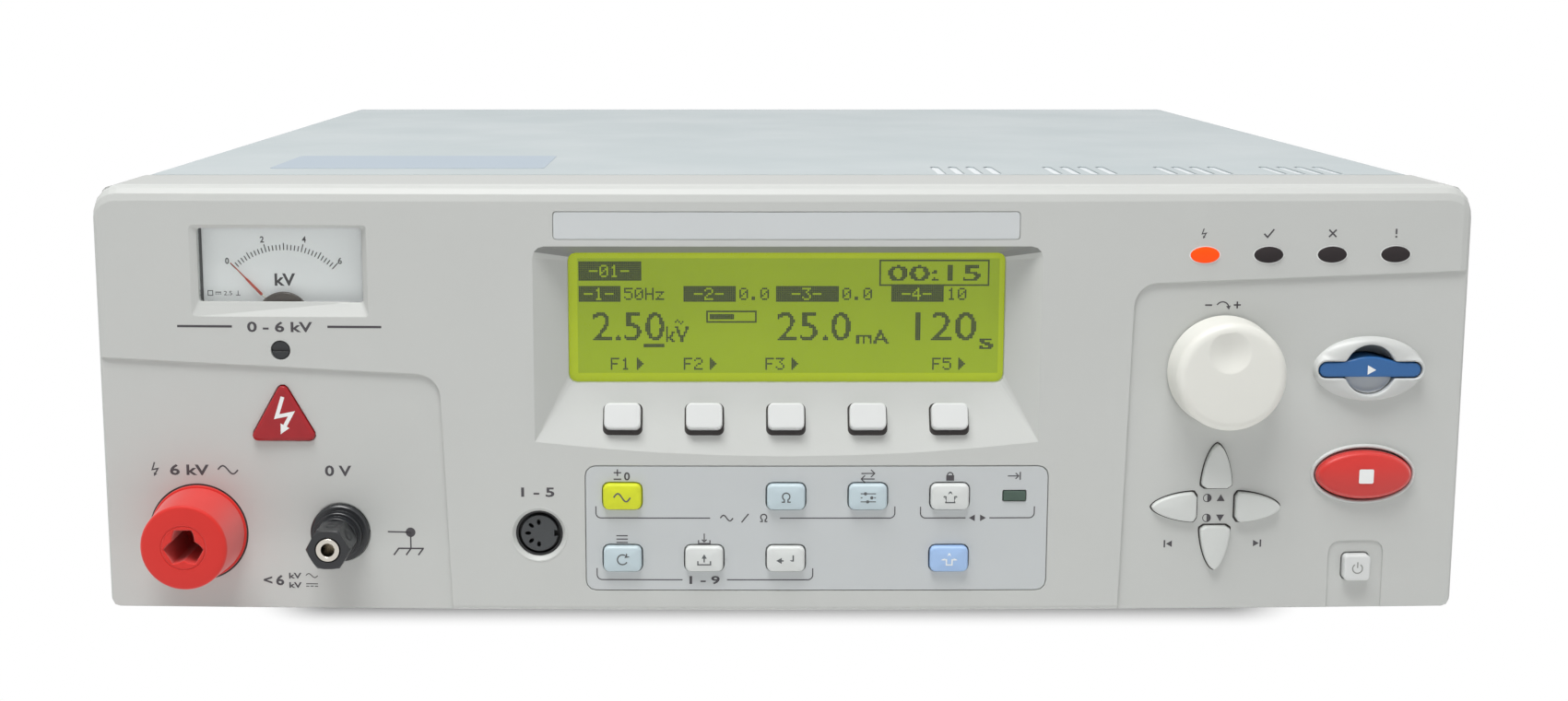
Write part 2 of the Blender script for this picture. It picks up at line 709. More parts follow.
def pocket(name, outline, depth):
    """A cutter for a shallow pocket whose floor runs parallel to the bowed front."""
    lifted = [(x, BEZEL_Z + z) for x, z in outline]
    shape = cutter(name, prism(name, lifted, FACE_Y - REACH, FACE_Y + REACH))
    floor = cutter(f"{name}_floor", front_space(f"{name}_floor", depth))
    return boolean(shape, floor, "INTERSECT")


# Front frame

def arc_drop(inwards, radius):
    """How far a round corner falls away at this distance from its side."""
    if inwards >= radius:
        return 0.0
    return radius - math.sqrt(max(0.0, radius ** 2 - (radius - inwards) ** 2))


def bezel_section(x, steps=3):
    """The front band's outline in Y and Z at this x."""
    inwards = HALF_WIDTH - abs(x)
    front = FACE_Y - bow(x) + arc_drop(inwards, SIDE_EDGE_RADIUS)
    low = BEZEL_Z + arc_drop(inwards, CORNER_BOTTOM_RADIUS)
    high = BEZEL_Z + BEZEL_HEIGHT - arc_drop(inwards, CORNER_TOP_RADIUS)
    back = FACE_Y + FRONT_BAND
    ring = [(x, back, high), (x, back, low)]
    for k in range(steps + 1):
        angle = math.pi / 2 * k / steps
        y = front + BOTTOM_EDGE_RADIUS * (1 - math.sin(angle))
        ring.append((x, y, low + BOTTOM_EDGE_RADIUS * (1 - math.cos(angle))))
    for k in range(steps + 1):
        angle = math.pi / 2 * k / steps
        y = front + TOP_EDGE_RADIUS * (1 - math.cos(angle))
        ring.append((x, y, high - TOP_EDGE_RADIUS * (1 - math.sin(angle))))
    return ring


def bezel_stations():
    """Close together at the round ends and wide apart between them."""
    end = [CORNER_TOP_RADIUS * (1 - math.cos(math.pi / 2 * k / 5)) for k in range(6)]
    right = [HALF_WIDTH - inwards for inwards in end]
    left = [-x for x in right]
    return left + stations(-HALF_WIDTH, HALF_WIDTH)[1:-1] + right[::-1]


def ring_outline(half_width, low, high, radius):
    width, height = 2 * half_width, high - low
    return rounded_rectangle(width, height, radius, 0, BEZEL_Z + (low + high) / 2)


def recess_outline(grow=0.0, steps=4):
    """The display recess where it opens in the front, with a curved lower edge."""
    half = RECESS_WIDTH / 2 + grow
    top = RECESS_TOP + grow
    low = RECESS_SIDE_BOTTOM - grow
    fall = RECESS_SIDE_BOTTOM - RECESS_MIDDLE_BOTTOM
    across = [2 * k / (2 * steps) - 1 for k in range(2 * steps + 1)]
    bottom = [(half * t, low - fall * (1 - t * t)) for t in across]
    corners = [*bottom, (half, top), (-half, top)]
    radii = [0] * len(bottom) + [RECESS_CORNER_RADIUS] * 2
    return [(RECESS_X + x, z) for x, z in rounded(corners, radii)]


def window_outline(grow=0.0):
    height = WINDOW_TOP - WINDOW_BOTTOM + 2 * grow
    middle = (WINDOW_TOP + WINDOW_BOTTOM) / 2
    return rounded_rectangle(WINDOW_WIDTH + 2 * grow, height, WINDOW_RADIUS + grow, RECESS_X, middle)


def recess_points(outline, floor, forward, mouth=0.0):
    """Corners of a wedge from the outline in the front down to the floor outline."""
    far = FACE_Y - REACH
    points = [(x, FACE_Y - bow(x) + mouth, BEZEL_Z + z) for x, z in outline]
    if forward:
        points += [(x, far, BEZEL_Z + z) for x, z in outline]
    back, ring = floor
    return points + [(x, back, BEZEL_Z + z) for x, z in ring]


def slope_angle():
    """The slope under the display, measured from the upright."""
    middle_front = FACE_Y - BOW
    return math.atan2(RECESS_Y - middle_front, WINDOW_BOTTOM - RECESS_MIDDLE_BOTTOM)


def on_slope(x, z):
    """The point of the slope under the display at (x, z)."""
    share = (z - RECESS_MIDDLE_BOTTOM) / (WINDOW_BOTTOM - RECESS_MIDDLE_BOTTOM)
    return Vector((x, FACE_Y - BOW + share * RECESS_DEPTH, BEZEL_Z + z))


def left_field_outline():
    out = HALF_WIDTH + REACH
    slope = (LEFT_FIELD_TOP_OUT - LEFT_FIELD_TOP_IN) / (HALF_WIDTH + LEFT_FIELD_SIDE_TOP)
    corners = (
        (-out, LEFT_FIELD_TOP_OUT + slope * REACH),
        (LEFT_FIELD_SIDE_TOP, LEFT_FIELD_TOP_IN),
        (LEFT_FIELD_SIDE_BOTTOM, 0),
        (LEFT_FIELD_SIDE_BOTTOM, -REACH),
        (-out, -REACH),
    )
    return rounded(corners, (0, FIELD_CORNER_RADIUS, 0, 0, 0), 6)


def right_field_outline():
    out = HALF_WIDTH + REACH
    slope = (RIGHT_FIELD_TOP_OUT - RIGHT_FIELD_TOP_IN) / (HALF_WIDTH - RIGHT_FIELD_SIDE_TOP)
    corners = (
        (out, RIGHT_FIELD_TOP_OUT + slope * REACH),
        (RIGHT_FIELD_SIDE_TOP, RIGHT_FIELD_TOP_IN),
        (RIGHT_FIELD_SIDE_BOTTOM, 0),
        (RIGHT_FIELD_SIDE_BOTTOM, -REACH),
        (out, -REACH),
    )
    return rounded(corners, (0, FIELD_CORNER_RADIUS, 0, 0, 0), 6)


def tongue_outline():
    left, right = POWER_X - TONGUE_WIDTH / 2, POWER_X + TONGUE_WIDTH / 2
    corners = ((left, -REACH), (right, -REACH), (right, TONGUE_TOP), (left, TONGUE_TOP))
    return rounded(corners, (0, 0, TONGUE_RADIUS, TONGUE_RADIUS))


def triangle_outline(grow=0.0):
    half = TRIANGLE_WIDTH / 2
    tall = TRIANGLE_TOP - TRIANGLE_BOTTOM
    # The rounded tips lie inside the sharp ones, so the sharp triangle is larger than the lens.
    over = TRIANGLE_RADIUS * 0.7
    base = TRIANGLE_BOTTOM - grow
    corners = (
        (-half - over - grow * 1.8, base),
        (half + over + grow * 1.8, base),
        (0, base + tall + over * 1.6 + grow * 3),
    )
    return rounded(corners, [TRIANGLE_RADIUS + grow] * 3)


def lamp_places():
    return [LAMP_FIRST + LAMP_PITCH * k for k in range(4)]


def soft_key_places():
    return [SOFT_KEY_FIRST + SOFT_KEY_PITCH * k for k in range(5)]


def function_key_place(column):
    return FUNCTION_KEY_FIRST + FUNCTION_KEY_PITCH * column


def through_holes():
    """Every hole that runs through the front wall."""
    front, back = FACE_Y - REACH / 2, FACE_Y + FRONT_BAND - FRONT_WALL
    rows = []

    def hole(outline, x=0.0, z=0.0, turn=0.0):
        place = Matrix.Translation((x, 0, BEZEL_Z + z)) @ Matrix.Rotation(math.radians(turn), 4, "Y")
        rows.append((outline, front, back, place))

    middle = (METER_BOTTOM + METER_TOP) / 2
    hole(rounded_rectangle(METER_WIDTH, METER_TOP - METER_BOTTOM, 0.001, METER_X, middle))
    hole(ellipse(ZERO_RADIUS + SEAT_GAP, ZERO_RADIUS + SEAT_GAP, ZERO_X, ZERO_Z, 20))
    hole(triangle_outline(SEAT_GAP), TRIANGLE_X)
    hole(ellipse(HV_BARREL_RADIUS + SEAT_GAP, HV_BARREL_RADIUS + SEAT_GAP, HV_X, HV_Z, 20))
    hole(ellipse(LOW_BARREL_RADIUS + SEAT_GAP, LOW_BARREL_RADIUS + SEAT_GAP, LOW_X, LOW_Z, 16))
    hole(ellipse(REMOTE_RADIUS, REMOTE_RADIUS, REMOTE_X, REMOTE_Z))
    for x in lamp_places():
        hole(ellipse(LAMP_WIDTH / 2 + SEAT_GAP, LAMP_HEIGHT / 2 + SEAT_GAP, x, LAMP_Z, 16))
    hole(ellipse(BUSH_RADIUS + SEAT_GAP, BUSH_RADIUS + SEAT_GAP, KNOB_X, KNOB_Z, 16))
    grow = SEAT_GAP - GUARD_LEDGE
    hole(ellipse(START_HALF_WIDTH + grow, START_HALF_HEIGHT + grow, START_X, START_Z, 20))
    hole(ellipse(STOP_HALF_WIDTH + grow, STOP_HALF_HEIGHT + grow, STOP_X, STOP_Z, 20))
    for _, turn in ARROWS:
        hole(arrow_outline(KEY_GAP), ARROW_X, ARROW_Z, -turn)
    size = POWER_SIZE + 2 * KEY_GAP
    hole(rounded_rectangle(size, size, POWER_RADIUS + KEY_GAP, POWER_X, POWER_Z))
    return rows


def flat_beds():
    """Flat seats in the bowed fields for the two terminals and the two oval guards."""
    grow = SEAT_GAP
    beds = (
        (HV_X, HV_Z, HV_FLANGE_RADIUS, HV_FLANGE_RADIUS),
        (LOW_X, LOW_Z, LOW_BASE_RADIUS, LOW_BASE_RADIUS),
        (START_X, START_Z, START_HALF_WIDTH, START_HALF_HEIGHT),
        (STOP_X, STOP_Z, STOP_HALF_WIDTH, STOP_HALF_HEIGHT),
    )
    rows = []
    for x, z, half_width, half_height in beds:
        place = on_bed(x, z, half_width)
        outline = ellipse(half_width + grow, half_height + grow)
        rows.append((outline, -REACH / 2, 0, Matrix.Translation(place)))
    return rows


def key_holes(width, height, radius, places):
    return [rounded_rectangle(width + 2 * KEY_GAP, height + 2 * KEY_GAP, radius + KEY_GAP, x, z)
            for x, z in places]


def film_holes():
    """Holes for the function keys and the small lamp, through the film and the wall behind it."""
    front, back = FACE_Y - REACH / 2, FACE_Y + FRONT_BAND - FRONT_WALL
    places = [(function_key_place(column), z) for _, column, z, _ in FUNCTION_KEYS]
    outlines = key_holes(FUNCTION_KEY_WIDTH, FUNCTION_KEY_HEIGHT, FUNCTION_KEY_RADIUS, places)
    width = REMOTE_LAMP_WIDTH + 2 * SEAT_GAP
    height = REMOTE_LAMP_HEIGHT + 2 * SEAT_GAP
    outlines.append(rounded_rectangle(width, height, 0.0003, REMOTE_LAMP_X, REMOTE_LAMP_Z, 1))
    place = Matrix.Translation((0, 0, BEZEL_Z))
    return [(outline, front, back, place) for outline in outlines]


def slope_holes():
    turn = Matrix.Rotation(-slope_angle(), 4, "X")
    outline = key_holes(SOFT_KEY_WIDTH, SOFT_KEY_HEIGHT, SOFT_KEY_RADIUS, [(0, 0)])[0]
    return [(outline, -FRONT_BAND / 2, FRONT_BAND, Matrix.Translation(on_slope(x, SOFT_KEY_Z)) @ turn)
            for x in soft_key_places()]


def board_bosses():
    """Round bosses behind the front wall that the front board is fastened to."""
    boss = ellipse(BOSS_RADIUS, BOSS_RADIUS, count=10)
    return [(boss, FACE_Y - BOW, BOARD_Y - SEAT_GAP,
             Matrix.Translation((across * BEZEL_WIDTH, 0, BEZEL_Z + up * BEZEL_HEIGHT)))
            for across, up in zip(BOSS_SHARES, BOSS_LEVELS)]


def make_front_bezel():
    rings = [bezel_section(x) for x in bezel_stations()]
    bezel = finished("front_bezel", loft("front_bezel", rings), "bezel")
    back = FACE_Y + COLLAR_BACK
    outline = ring_outline(COLLAR_HALF_WIDTH, COLLAR_INSET, COLLAR_TOP, CORNER_BOTTOM_RADIUS)
    overlap = FACE_Y + FRONT_BAND - FRONT_WALL
    boolean(bezel, cutter("collar", prism("collar", outline, overlap, back)), "UNION")
    inset = COLLAR_INSET + LIP_INSET
    outline = ring_outline(LIP_HALF_WIDTH, inset, LIP_TOP, CORNER_BOTTOM_RADIUS)
    lip = prism("lip", outline, back - FRONT_WALL, FACE_Y + LIP_BACK)
    boolean(bezel, cutter("lip", lip), "UNION")

    half = LIP_HALF_WIDTH - LIP_WALL
    low, high = BEZEL_Z + inset + LIP_WALL, BEZEL_Z + LIP_TOP - LIP_WALL
    far = FACE_Y + LIP_BACK + REACH
    rings = []
    for x in stations(-half, half):
        near = FACE_Y - bow(x) + FRONT_WALL
        rings.append([(x, near, low), (x, far, low), (x, far, high), (x, near, high)])
    hollow = cutter("hollow", loft("hollow", rings))
    floor = (RECESS_Y + RECESS_FLOOR, window_outline(RECESS_MARGIN))
    wall = hull("recess_wall", recess_points(recess_outline(RECESS_WALL), floor, False, 0.001))
    boolean(hollow, cutter("recess_wall", wall))
    boolean(hollow, cutter("bosses", prisms("bosses", board_bosses())))
    boolean(bezel, hollow)

    boolean(bezel, pocket("left_field", left_field_outline(), FIELD_STEP))
    boolean(bezel, pocket("right_field", right_field_outline(), FIELD_STEP))
    boolean(bezel, pocket("tongue", tongue_outline(), FIELD_STEP + TONGUE_DEPTH))
    strip = rounded_rectangle(NAME_STRIP_WIDTH, NAME_STRIP_HEIGHT, 0.001, NAME_STRIP_X, NAME_STRIP_Z)
    boolean(bezel, pocket("name_strip", strip, NAME_STRIP_DEPTH))
    grow = 2 * SEAT_GAP
    film = rounded_rectangle(OVERLAY_WIDTH + grow, OVERLAY_HEIGHT + grow, OVERLAY_RADIUS + SEAT_GAP,
                             OVERLAY_X, OVERLAY_Z)
    boolean(bezel, pocket("film_bed", film, OVERLAY_THICKNESS + SEAT_GAP))

    floor = (RECESS_Y, window_outline(SEAT_GAP))
    recess = hull("recess", recess_points(recess_outline(), floor, True))
    boolean(bezel, cutter("recess", recess))
    lifted = [(x, BEZEL_Z + z) for x, z in window_outline(SEAT_GAP)]
    opening = prism("window_hole", lifted, RECESS_Y - 0.001, RECESS_Y + REACH)
    boolean(bezel, cutter("window_hole", opening))

    top, bottom = METER_OUTER_TOP, METER_OUTER_BOTTOM
    outer = rounded_rectangle(METER_OUTER_WIDTH, top - bottom, 0.001, METER_X, (top + bottom) / 2)
    middle = (METER_BOTTOM + METER_TOP) / 2
    inner = rounded_rectangle(METER_WIDTH, METER_TOP - METER_BOTTOM, 0.001, METER_X, middle)
    floor = (on_front(METER_X, 0, METER_DEPTH).y, inner)
    bed = hull("meter_bed", recess_points(outer, floor, True))
    boolean(bezel, cutter("meter_bed", bed))

    boolean(bezel, cutter("flat_beds", prisms("flat_beds", flat_beds())))
    boolean(bezel, cutter("holes", prisms("holes", through_holes())))
    boolean(bezel, cutter("film_holes", prisms("film_holes", film_holes())))
    boolean(bezel, cutter("slope_holes", prisms("slope_holes", slope_holes())))
    return bezel


# Pieces in the front frame

def make_window():
    lifted = [(x, BEZEL_Z + z) for x, z in window_outline()]
    mesh = prism("display_window", lifted, RECESS_Y, RECESS_Y + WINDOW_THICKNESS)
    finished("display_window", mesh, "window")


def make_display():
    front = RECESS_Y + RECESS_FLOOR + SEAT_GAP
    low = (RECESS_X - DISPLAY_WIDTH / 2, front, BEZEL_Z + DISPLAY_BOTTOM)
    high = (RECESS_X + DISPLAY_WIDTH / 2, front + DISPLAY_THICKNESS, BEZEL_Z + DISPLAY_TOP)
    finished("lcd_module", box("lcd_module", low, high), "display")


def make_film():
    outline = rounded_rectangle(OVERLAY_WIDTH, OVERLAY_HEIGHT, OVERLAY_RADIUS, OVERLAY_X,
                                BEZEL_Z + OVERLAY_Z)
    mesh = prism("key_overlay", outline, FACE_Y - REACH, FACE_Y + REACH)
    film = finished("key_overlay", mesh, "film")
    space = cutter("film_back", front_space("film_back", OVERLAY_THICKNESS))
    boolean(film, space, "INTERSECT")
    boolean(film, cutter("film_front", front_space("film_front", 0.0)))
    boolean(film, cutter("film_key_holes", prisms("film_key_holes", film_holes())))


def key_mesh(name, outline, flange, proud, seat, length):
    """A cap that runs through the wall, a flange behind the wall and a post to the switch."""
    bm = bmesh.new()
    add_prism(bm, outline, -proud, seat)
    cap_edges = [edge for edge in bm.edges if all(v.co.y < -proud / 2 for v in edge.verts)]
    bmesh.ops.recalc_face_normals(bm, faces=bm.faces)
    bmesh.ops.bevel(bm, geom=cap_edges, offset=KEY_EDGE, segments=1, affect="EDGES")
    cap = to_mesh(bm, name)
    flange_back = seat + KEY_FLANGE_THICKNESS
    plate = prism(f"{name}_flange", flange, seat - SEAT_GAP, flange_back)
    middle_x = sum(x for x, _ in outline) / len(outline)
    middle_z = sum(z for _, z in outline) / len(outline)
    half = KEY_POST / 2
    post = box(f"{name}_post", (middle_x - half, flange_back - SEAT_GAP, middle_z - half),
               (middle_x + half, length, middle_z + half))
    return cap, plate, post


def make_key(name, outline, flange, place, finish, proud, seat, length, turn=Matrix()):
    """A key that slides along its own Y axis, built about its own origin and then placed."""
    cap, plate, post = key_mesh(name, outline, flange, proud, seat, length)
    key = finished(name, cap, finish)
    key.matrix_world = Matrix.Translation(place) @ turn
    for mesh in (plate, post):
        helper = cutter(mesh.name, mesh)
        helper.matrix_world = key.matrix_world
        boolean(key, helper, "UNION")
    return key


def make_soft_keys():
    angle = slope_angle()
    turn = Matrix.Rotation(-angle, 4, "X")
    cap = rounded_rectangle(SOFT_KEY_WIDTH, SOFT_KEY_HEIGHT, SOFT_KEY_RADIUS)
    grow = 2 * (KEY_GAP + KEY_FLANGE)
    flange = rounded_rectangle(SOFT_KEY_WIDTH + grow, SOFT_KEY_HEIGHT + grow, SOFT_KEY_RADIUS,
                               segments=1)
    seat = RECESS_WALL + 2 * SEAT_GAP + KEY_FLANGE_THICKNESS
    for number, x in enumerate(soft_key_places(), 1):
        place = on_slope(x, SOFT_KEY_Z)
        room = BOARD_Y - place.y - SEAT_GAP
        length = (room - KEY_POST / 2 * math.sin(angle)) / math.cos(angle) - KEY_TRAVEL
        make_key(f"soft_key_{number}", cap, flange, place, "white_plastic", SOFT_KEY_PROUD, seat,
                 length, turn)


def make_function_keys():
    cap = rounded_rectangle(FUNCTION_KEY_WIDTH, FUNCTION_KEY_HEIGHT, FUNCTION_KEY_RADIUS)
    grow = 2 * (KEY_GAP + KEY_FLANGE)
    flange = rounded_rectangle(FUNCTION_KEY_WIDTH + grow, FUNCTION_KEY_HEIGHT + grow,
                               FUNCTION_KEY_RADIUS, segments=1)
    for name, column, z, finish in FUNCTION_KEYS:
        place = on_front(function_key_place(column), z)
        seat = behind_wall(place, FUNCTION_KEY_WIDTH) + 2 * SEAT_GAP
        length = BOARD_Y - place.y - SEAT_GAP - KEY_TRAVEL
        make_key(name, cap, flange, place, finish, FUNCTION_KEY_PROUD, seat, length)


def make_arrow_keys():
    place = on_field(ARROW_X, ARROW_Z)
    seat = behind_wall(place, ARROW_INNER + ARROW_LENGTH + ARROW_WIDTH / 2) + 2 * SEAT_GAP
    for name, turn in ARROWS:
        length = BOARD_Y - place.y - SEAT_GAP - KEY_TRAVEL
        rotation = Matrix.Rotation(math.radians(-turn), 4, "Y")
        make_key(f"arrow_key_{name}", arrow_outline(), arrow_outline(KEY_GAP + SEAT_GAP), place,
                 "white_plastic", ARROW_PROUD, seat, length, rotation)


def make_power_button():
    cap = rounded_rectangle(POWER_SIZE, POWER_SIZE, POWER_RADIUS)
    size = POWER_SIZE + 2 * (KEY_GAP + SEAT_GAP)
    flange = rounded_rectangle(size, size, POWER_RADIUS)
    place = on_field(POWER_X, POWER_Z)
    length = BOARD_Y - place.y - SEAT_GAP - POWER_TRAVEL
    seat = behind_wall(place, size / 2) + 2 * SEAT_GAP
    make_key("power_button", cap, flange, place, "white_plastic", POWER_PROUD, seat, length)


def make_lens(name, outline, flange, place, finish, proud):
    """A lens through the wall, held by a flange behind it."""
    reach = max(abs(x) for x, _ in flange)
    wall = behind_wall(place, reach)
    lens = finished(name, prism(name, outline, -proud, wall + 2 * SEAT_GAP), finish, place)
    bevel(lens, proud * 0.45, 1, 60)
    back = wall + SEAT_GAP + LENS_DEPTH
    plate = prism(f"{name}_flange", flange, wall + SEAT_GAP, back)
    boolean(lens, cutter(f"{name}_flange", plate, place), "UNION")


def make_lamps():
    half_width, half_height = LAMP_WIDTH / 2, LAMP_HEIGHT / 2
    cap = ellipse(half_width, half_height, count=16)
    flange = ellipse(half_width + LENS_FLANGE, half_height + LENS_FLANGE, count=12)
    for number, x in enumerate(lamp_places(), 1):
        finish = "orange_lens" if number == 1 else "dark_lens"
        make_lens(f"lamp_lens_{number}", cap, flange, on_front(x, LAMP_Z), finish, LAMP_PROUD)
    width, height = REMOTE_LAMP_WIDTH, REMOTE_LAMP_HEIGHT
    cap = rounded_rectangle(width, height, 0.0003, segments=1)
    flange = rounded_rectangle(width + 2 * LENS_FLANGE, height + 2 * LENS_FLANGE, 0.0003, segments=1)
    make_lens("remote_lamp", cap, flange, on_front(REMOTE_LAMP_X, REMOTE_LAMP_Z), "dark_lens",
              LAMP_PROUD / 2)
    make_lens("hv_lamp_lens", triangle_outline(), triangle_outline(LENS_FLANGE),
              on_field(TRIANGLE_X, 0), "red", TRIANGLE_PROUD)


# Meter

def make_meter():
    glass_y = on_front(METER_X, 0, METER_DEPTH).y
    middle = BEZEL_Z + (METER_BOTTOM + METER_TOP) / 2
    width, height = METER_WIDTH - 2 * SEAT_GAP, METER_TOP - METER_BOTTOM - 2 * SEAT_GAP
    outline = rounded_rectangle(width, height, 0.0007, METER_X, middle)
    glass_back = glass_y + METER_GLASS
    mesh = prism("meter_window", outline, glass_y, glass_back)
    finished("meter_window", mesh, "window")

    front = max(glass_back + SEAT_GAP, on_front(METER_X + METER_WIDTH / 2, 0, FRONT_WALL).y + SEAT_GAP)
    side = METER_WIDTH / 2 + METER_CASE_SIDE
    low = BEZEL_Z + METER_BOTTOM - METER_CASE_BELOW
    high = BEZEL_Z + METER_TOP + METER_CASE_ABOVE
    case = finished("meter_body", box("meter_body", (METER_X - side, front, low),
                                      (METER_X + side, front + METER_CASE_DEPTH, high)), "dial")
    wall = METER_CASE_SIDE - SEAT_GAP
    dial = glass_y + METER_DIAL_DEPTH
    well = box("meter_well", (METER_X - side + wall, front - REACH / 2, low + wall),
               (METER_X + side - wall, dial, high - wall))
    boolean(case, cutter("meter_well", well))
    pivot_z = BEZEL_Z + METER_PIVOT_Z
    plate_front = front + SEAT_GAP
    plate_back = plate_front + COVER_PLATE_THICKNESS
    top = pivot_z + COVER_PLATE_TOP
    half = COVER_PLATE_RADIUS
    plate = box("pivot_cover", (METER_X - half, plate_front, low + wall / 2),
                (METER_X + half, plate_back, top))
    boolean(case, cutter("pivot_cover", plate), "UNION")
    needle_y = (plate_back + dial) / 2
    return Vector((METER_X, needle_y, pivot_z))


def make_needle(pivot):
    hub_half = NEEDLE_THICKNESS / 2 + 0.0002
    hub = finished("meter_needle", prism("meter_needle", ellipse(METER_HUB_RADIUS, METER_HUB_RADIUS,
                                                                 count=16), -hub_half, hub_half),
                   "needle", pivot)
    half, tip = NEEDLE_WIDTH / 2, NEEDLE_WIDTH / 6
    tail = -METER_HUB_RADIUS * 1.2
    outline = [(-half, tail), (half, tail), (tip, NEEDLE_LENGTH), (-tip, NEEDLE_LENGTH)]
    thin = NEEDLE_THICKNESS / 2
    pointer = cutter("pointer", prism("pointer", outline, -thin, thin), pivot)
    boolean(hub, pointer, "UNION")
    for obj in (hub, pointer):
        obj.rotation_euler = (0, -NEEDLE_REST, 0)


def make_zero_adjuster():
    place = on_front(ZERO_X, ZERO_Z)
    seat = behind_wall(place, 2 * ZERO_RADIUS) + SEAT_GAP
    profile = [(0, SEAT_GAP), (ZERO_RADIUS, SEAT_GAP), (ZERO_RADIUS, seat),
               (ZERO_RADIUS + 0.001, seat), (ZERO_RADIUS + 0.001, seat + 0.001), (0, seat + 0.001)]
    screw = turned("zero_adjuster", profile, "black", place, 20)
    half = ZERO_SLOT / 2
    slot = box("zero_slot", (-ZERO_RADIUS * 2, -REACH, -half), (ZERO_RADIUS * 2, 0.0011, half))
    boolean(screw, cutter("zero_slot", slot, place))


# Terminals and socket

def lobed_outline():
    """Three short straight sides joined by three arcs that bulge inwards."""
    outline = []
    for lobe in range(3):
        angle = math.radians(90 + 120 * lobe)
        out = Vector((math.cos(angle), math.sin(angle)))
        along = Vector((-out.y, out.x))
        start = out * HV_LOBE_REACH - along * HV_LOBE_HALF
        end = out * HV_LOBE_REACH + along * HV_LOBE_HALF
        outline += [start, end]
        following = math.radians(90 + 120 * (lobe + 1))
        out = Vector((math.cos(following), math.sin(following)))
        target = out * HV_LOBE_REACH - Vector((-out.y, out.x)) * HV_LOBE_HALF
        for k in range(1, 3):
            point = end.lerp(target, k / 3)
            outline.append(point * (1 - 0.22 * math.sin(math.pi * k / 3)))
    return [tuple(point) for point in outline]


def make_hv_terminal():
    place = on_bed(HV_X, HV_Z, HV_FLANGE_RADIUS)
    behind = behind_wall(place, HV_NUT_RADIUS) + SEAT_GAP
    base = -SEAT_GAP - HV_FLANGE_THICKNESS
    profile = [
        (0, -HV_PROUD), (HV_FACE_RADIUS - HV_EDGE, -HV_PROUD),
        (HV_FACE_RADIUS - HV_EDGE * 0.3, -HV_PROUD + HV_EDGE * 0.3),
        (HV_FACE_RADIUS, -HV_PROUD + HV_EDGE), (HV_BASE_RADIUS, base - SEAT_GAP),
        (HV_FLANGE_RADIUS, base), (HV_FLANGE_RADIUS, -SEAT_GAP), (HV_BARREL_RADIUS, -SEAT_GAP),
        (HV_BARREL_RADIUS, behind), (HV_NUT_RADIUS, behind),
        (HV_NUT_RADIUS, behind + HV_NUT_THICKNESS),
        (HV_BARREL_RADIUS, behind + HV_NUT_THICKNESS), (HV_BARREL_RADIUS, HV_BARREL_DEPTH),
        (0, HV_BARREL_DEPTH),
    ]
    body = turned("hv_terminal_body", profile, "red", place, 26)
    hole_back = HV_SOCKET_DEPTH - HV_PROUD
    hole = prism("hv_socket", lobed_outline(), -HV_PROUD - REACH, hole_back)
    boolean(body, cutter("hv_socket", hole, place))
    back = hole_back - SEAT_GAP
    profile = [(0, back - HV_CONTACT_LENGTH), (HV_CONTACT_RADIUS * 0.7, back - HV_CONTACT_LENGTH),
               (HV_CONTACT_RADIUS, back - HV_CONTACT_LENGTH * 0.85), (HV_CONTACT_RADIUS, back),
               (0, back)]
    turned("hv_contact", profile, "brass", place, 16)


def make_low_terminal():
    place = on_bed(LOW_X, LOW_Z, LOW_BASE_RADIUS)
    bore = LOW_STEM_RADIUS + SEAT_GAP
    base = -LOW_BASE_THICKNESS
    collar = -LOW_BASE_THICKNESS - LOW_COLLAR_LENGTH
    middle = (base + collar) / 2
    profile = [
        (bore, collar), (LOW_COLLAR_NECK, collar), (LOW_COLLAR_NECK, middle), (LOW_COLLAR_RADIUS, middle),
        (LOW_COLLAR_RADIUS, base), (LOW_BASE_RADIUS, base), (LOW_BASE_RADIUS, -SEAT_GAP),
        (LOW_BARREL_RADIUS, -SEAT_GAP), (LOW_BARREL_RADIUS, LOW_BARREL_DEPTH),
        (bore, LOW_BARREL_DEPTH), (bore, collar),
    ]
    turned("low_terminal_base", profile, "black", place, 20)
    front = -LOW_PROUD
    profile = [
        (LOW_BORE_RADIUS, front), (LOW_STEM_RADIUS, front), (LOW_STEM_RADIUS, LOW_STEM_DEPTH),
        (0, LOW_STEM_DEPTH), (0, front + LOW_BORE_DEPTH), (LOW_BORE_RADIUS, front + LOW_BORE_DEPTH),
        (LOW_BORE_RADIUS, front),
    ]
    turned("low_terminal_stem", profile, "steel", place, 20)
    corner = LOW_CAP_FLATS / 2 / math.cos(math.pi / 6)
    hexagon = ellipse(corner, corner, count=6)
    cap_front = front + SEAT_GAP
    mesh = prism("low_terminal_cap", hexagon, cap_front, cap_front + LOW_CAP_LENGTH)
    cap = finished("low_terminal_cap", mesh, "black", place)
    bevel(cap, LOW_CAP_EDGE)
    bore_mesh = prism("cap_bore", ellipse(bore, bore, count=20), front - REACH, REACH)
    boolean(cap, cutter("cap_bore", bore_mesh, place))


